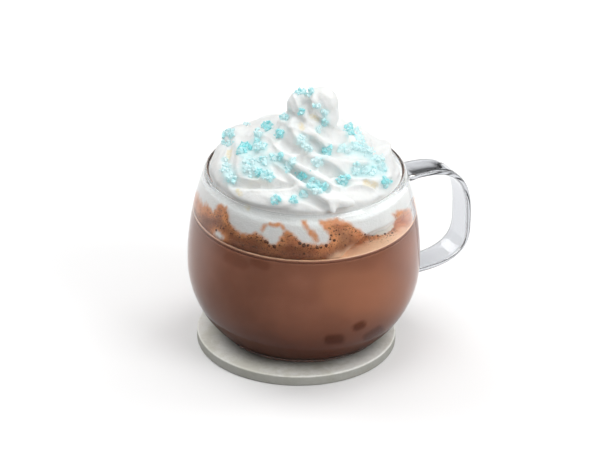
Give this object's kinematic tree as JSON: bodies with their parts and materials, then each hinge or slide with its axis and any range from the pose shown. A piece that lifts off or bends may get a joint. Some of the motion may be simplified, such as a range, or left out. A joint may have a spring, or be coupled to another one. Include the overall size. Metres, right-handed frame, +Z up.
{
  "type": "glass mug of coffee topped with whipped cream",
  "caption": "Round clear glass mug of milky coffee with froth, piped whipped cream and coarse blue sugar crystals, standing on a round stone coaster.",
  "frame": {"origin": "the mug's axis at the underside of the coaster", "axes": "+Z up along the mug's axis; +X towards the middle of the mug's handle"},
  "size_m": [0.1362, 0.105, 0.1278],
  "materials": {
    "coaster": "matt pale grey-beige stone",
    "glass_mug": "clear polished glass",
    "coffee": "opaque milky brown drink",
    "froth": "tan froth with fine bubbles",
    "whipped_cream": "soft white cream with pale blue sugar crystals",
    "sugar_crystals": "translucent pale blue coarse sugar"
  },
  "bodies": {
    "root": {"coaster": "coaster", "glass_mug": "glass_mug", "coffee": "coffee", "froth": "froth", "whipped_cream": "whipped_cream"}
  },
  "joints": []
}
